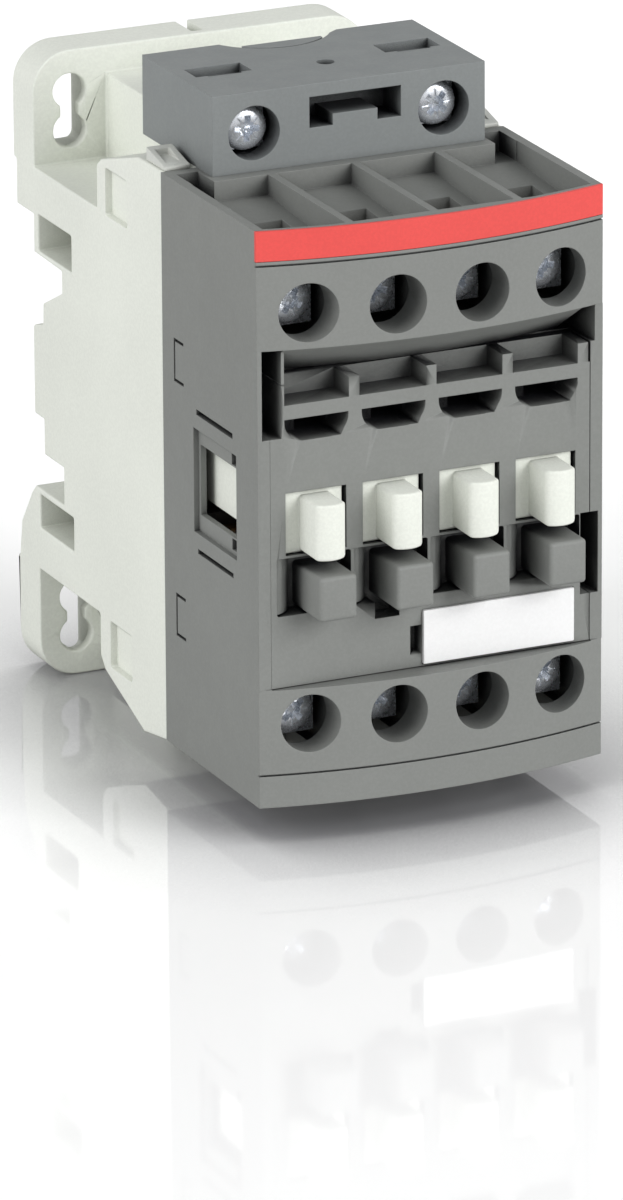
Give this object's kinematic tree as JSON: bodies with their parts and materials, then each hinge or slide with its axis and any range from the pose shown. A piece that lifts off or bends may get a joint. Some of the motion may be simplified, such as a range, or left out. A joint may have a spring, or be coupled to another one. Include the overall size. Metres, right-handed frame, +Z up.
{
  "type": "din rail contactor",
  "caption": "Electromagnetic contactor for rail or panel, with sliding contact carrier, spring contacts, screw terminals and a coil block.",
  "frame": {"origin": "centre of the panel hole pattern, on the back mounting plane", "axes": "+Z up along the contactor's height, -Y towards the front, +X to the viewer's right"},
  "size_m": [0.045, 0.077, 0.0857],
  "materials": {
    "cream_plastic": "fine moulded satin",
    "grey_plastic": "fine moulded satin",
    "block_plastic": "fine moulded satin",
    "red_plastic": "smooth",
    "marker_plastic": "smooth",
    "clip_plastic": "cloudy, translucent",
    "core_steel": "laminated, lightly oiled",
    "pad_rubber": "matt",
    "bobbin_plastic": "natural glass-filled",
    "winding_copper": "enamelled copper wire",
    "board": "solder-masked board",
    "contact_brass": "stamped",
    "contact_silver": "silver alloy",
    "zinc_steel": "bright zinc plated",
    "spring_steel": "bright wire"
  },
  "bodies": {
    "housing": {"rear_housing": "cream_plastic", "pole_housing": "grey_plastic", "front_cover": "grey_plastic", "colour_band": "red_plastic", "marker_plate": "marker_plastic", "coil_block": "block_plastic", "housing_clips": "clip_plastic", "fixed_core": "core_steel", "core_pad": "pad_rubber", "coil_bobbin": "bobbin_plastic", "coil_winding": "winding_copper", "coil_board": "board", "coil_terminal_left": "contact_brass", "coil_terminal_right": "contact_brass", "fixed_tips": "contact_silver", "line_contact_1": "contact_brass", "line_contact_2": "contact_brass", "line_contact_3": "contact_brass", "line_contact_4": "contact_brass", "load_contact_1": "contact_brass", "load_contact_2": "contact_brass", "load_contact_3": "contact_brass", "load_contact_4": "contact_brass", "return_spring_left": "spring_steel", "return_spring_right": "spring_steel", "din_latch_spring": "spring_steel"},
    "carrier": {"contact_carrier": "cream_plastic", "armature": "core_steel", "armature_pin": "zinc_steel", "contact_spring_1": "spring_steel", "contact_spring_2": "spring_steel", "contact_spring_3": "spring_steel", "contact_spring_4": "spring_steel"},
    "bridge_1": {"bridge_1": "contact_brass"},
    "bridge_2": {"bridge_2": "contact_brass"},
    "bridge_3": {"bridge_3": "contact_brass"},
    "bridge_4": {"bridge_4": "contact_brass"},
    "din_latch": {"din_latch": "cream_plastic"},
    "line_clamp_1": {"line_clamp_1": "zinc_steel"},
    "line_screw_1": {"line_screw_1": "zinc_steel"},
    "line_clamp_2": {"line_clamp_2": "zinc_steel"},
    "line_screw_2": {"line_screw_2": "zinc_steel"},
    "line_clamp_3": {"line_clamp_3": "zinc_steel"},
    "line_screw_3": {"line_screw_3": "zinc_steel"},
    "line_clamp_4": {"line_clamp_4": "zinc_steel"},
    "line_screw_4": {"line_screw_4": "zinc_steel"},
    "load_clamp_1": {"load_clamp_1": "zinc_steel"},
    "load_screw_1": {"load_screw_1": "zinc_steel"},
    "load_clamp_2": {"load_clamp_2": "zinc_steel"},
    "load_screw_2": {"load_screw_2": "zinc_steel"},
    "load_clamp_3": {"load_clamp_3": "zinc_steel"},
    "load_screw_3": {"load_screw_3": "zinc_steel"},
    "load_clamp_4": {"load_clamp_4": "zinc_steel"},
    "load_screw_4": {"load_screw_4": "zinc_steel"},
    "coil_clamp_left": {"coil_clamp_left": "zinc_steel"},
    "coil_screw_left": {"coil_screw_left": "zinc_steel"},
    "coil_clamp_right": {"coil_clamp_right": "zinc_steel"},
    "coil_screw_right": {"coil_screw_right": "zinc_steel"}
  },
  "joints": [
    {"name": "carrier_travel", "type": "slide", "parent": "housing", "child": "carrier", "axis": [0, 1, 0], "range_m": [0, 0.004], "stiffness_N_per_m": 800, "springref_m": -0.004, "deforming": ["return_spring_left", "return_spring_right"]},
    {"name": "bridge_1_overtravel", "type": "slide", "parent": "carrier", "child": "bridge_1", "axis": [0, -1, 0], "range_m": [0, 0.00125], "deforming": ["contact_spring_1"]},
    {"name": "bridge_2_overtravel", "type": "slide", "parent": "carrier", "child": "bridge_2", "axis": [0, -1, 0], "range_m": [0, 0.00125], "deforming": ["contact_spring_2"]},
    {"name": "bridge_3_overtravel", "type": "slide", "parent": "carrier", "child": "bridge_3", "axis": [0, -1, 0], "range_m": [0, 0.00125], "deforming": ["contact_spring_3"]},
    {"name": "bridge_4_overtravel", "type": "slide", "parent": "carrier", "child": "bridge_4", "axis": [0, -1, 0], "range_m": [0, 0.00125], "deforming": ["contact_spring_4"]},
    {"name": "din_latch_travel", "type": "slide", "parent": "housing", "child": "din_latch", "axis": [0, 0, -1], "range_m": [0, 0.003], "stiffness_N_per_m": 1500, "springref_m": -0.003, "deforming": ["din_latch_spring"]},
    {"name": "line_clamp_1_travel", "type": "slide", "parent": "housing", "child": "line_clamp_1", "axis": [0, 1, 0], "range_m": [0, 0.0024]},
    {"name": "line_screw_1_turn", "type": "hinge", "parent": "line_clamp_1", "child": "line_screw_1", "pos_m": [-0.01635, -0.0681, 0.0254], "axis": [0, 1, 0], "range_deg": [0, 1440]},
    {"name": "line_clamp_2_travel", "type": "slide", "parent": "housing", "child": "line_clamp_2", "axis": [0, 1, 0], "range_m": [0, 0.0024]},
    {"name": "line_screw_2_turn", "type": "hinge", "parent": "line_clamp_2", "child": "line_screw_2", "pos_m": [-0.00545, -0.0681, 0.0254], "axis": [0, 1, 0], "range_deg": [0, 1440]},
    {"name": "line_clamp_3_travel", "type": "slide", "parent": "housing", "child": "line_clamp_3", "axis": [0, 1, 0], "range_m": [0, 0.0024]},
    {"name": "line_screw_3_turn", "type": "hinge", "parent": "line_clamp_3", "child": "line_screw_3", "pos_m": [0.00545, -0.0681, 0.0254], "axis": [0, 1, 0], "range_deg": [0, 1440]},
    {"name": "line_clamp_4_travel", "type": "slide", "parent": "housing", "child": "line_clamp_4", "axis": [0, 1, 0], "range_m": [0, 0.0024]},
    {"name": "line_screw_4_turn", "type": "hinge", "parent": "line_clamp_4", "child": "line_screw_4", "pos_m": [0.01635, -0.0681, 0.0254], "axis": [0, 1, 0], "range_deg": [0, 1440]},
    {"name": "load_clamp_1_travel", "type": "slide", "parent": "housing", "child": "load_clamp_1", "axis": [0, 1, 0], "range_m": [0, 0.0024]},
    {"name": "load_screw_1_turn", "type": "hinge", "parent": "load_clamp_1", "child": "load_screw_1", "pos_m": [-0.01635, -0.0681, -0.0254], "axis": [0, 1, 0], "range_deg": [0, 1440]},
    {"name": "load_clamp_2_travel", "type": "slide", "parent": "housing", "child": "load_clamp_2", "axis": [0, 1, 0], "range_m": [0, 0.0024]},
    {"name": "load_screw_2_turn", "type": "hinge", "parent": "load_clamp_2", "child": "load_screw_2", "pos_m": [-0.00545, -0.0681, -0.0254], "axis": [0, 1, 0], "range_deg": [0, 1440]},
    {"name": "load_clamp_3_travel", "type": "slide", "parent": "housing", "child": "load_clamp_3", "axis": [0, 1, 0], "range_m": [0, 0.0024]},
    {"name": "load_screw_3_turn", "type": "hinge", "parent": "load_clamp_3", "child": "load_screw_3", "pos_m": [0.00545, -0.0681, -0.0254], "axis": [0, 1, 0], "range_deg": [0, 1440]},
    {"name": "load_clamp_4_travel", "type": "slide", "parent": "housing", "child": "load_clamp_4", "axis": [0, 1, 0], "range_m": [0, 0.0024]},
    {"name": "load_screw_4_turn", "type": "hinge", "parent": "load_clamp_4", "child": "load_screw_4", "pos_m": [0.01635, -0.0681, -0.0254], "axis": [0, 1, 0], "range_deg": [0, 1440]},
    {"name": "coil_clamp_left_travel", "type": "slide", "parent": "housing", "child": "coil_clamp_left", "axis": [0, 1, 0], "range_m": [0, 0.004]},
    {"name": "coil_screw_left_turn", "type": "hinge", "parent": "coil_clamp_left", "child": "coil_screw_left", "pos_m": [-0.0124, -0.0475, 0.0404], "axis": [0, 1, 0], "range_deg": [0, 2880]},
    {"name": "coil_clamp_right_travel", "type": "slide", "parent": "housing", "child": "coil_clamp_right", "axis": [0, 1, 0], "range_m": [0, 0.004]},
    {"name": "coil_screw_right_turn", "type": "hinge", "parent": "coil_clamp_right", "child": "coil_screw_right", "pos_m": [0.0124, -0.0475, 0.0404], "axis": [0, 1, 0], "range_deg": [0, 2880]}
  ],
  "couplings": [
    {"joint": "bridge_1_overtravel", "follows": "carrier_travel", "ratio": 0.3125},
    {"joint": "bridge_2_overtravel", "follows": "carrier_travel", "ratio": 0.3125},
    {"joint": "bridge_3_overtravel", "follows": "carrier_travel", "ratio": 0.3125},
    {"joint": "bridge_4_overtravel", "follows": "carrier_travel", "ratio": 0.3125},
    {"joint": "line_screw_1_turn", "follows": "line_clamp_1_travel", "rad_per_m": 10472},
    {"joint": "line_screw_2_turn", "follows": "line_clamp_2_travel", "rad_per_m": 10472},
    {"joint": "line_screw_3_turn", "follows": "line_clamp_3_travel", "rad_per_m": 10472},
    {"joint": "line_screw_4_turn", "follows": "line_clamp_4_travel", "rad_per_m": 10472},
    {"joint": "load_screw_1_turn", "follows": "load_clamp_1_travel", "rad_per_m": 10472},
    {"joint": "load_screw_2_turn", "follows": "load_clamp_2_travel", "rad_per_m": 10472},
    {"joint": "load_screw_3_turn", "follows": "load_clamp_3_travel", "rad_per_m": 10472},
    {"joint": "load_screw_4_turn", "follows": "load_clamp_4_travel", "rad_per_m": 10472},
    {"joint": "coil_screw_left_turn", "follows": "coil_clamp_left_travel", "rad_per_m": 12566},
    {"joint": "coil_screw_right_turn", "follows": "coil_clamp_right_travel", "rad_per_m": 12566}
  ]
}
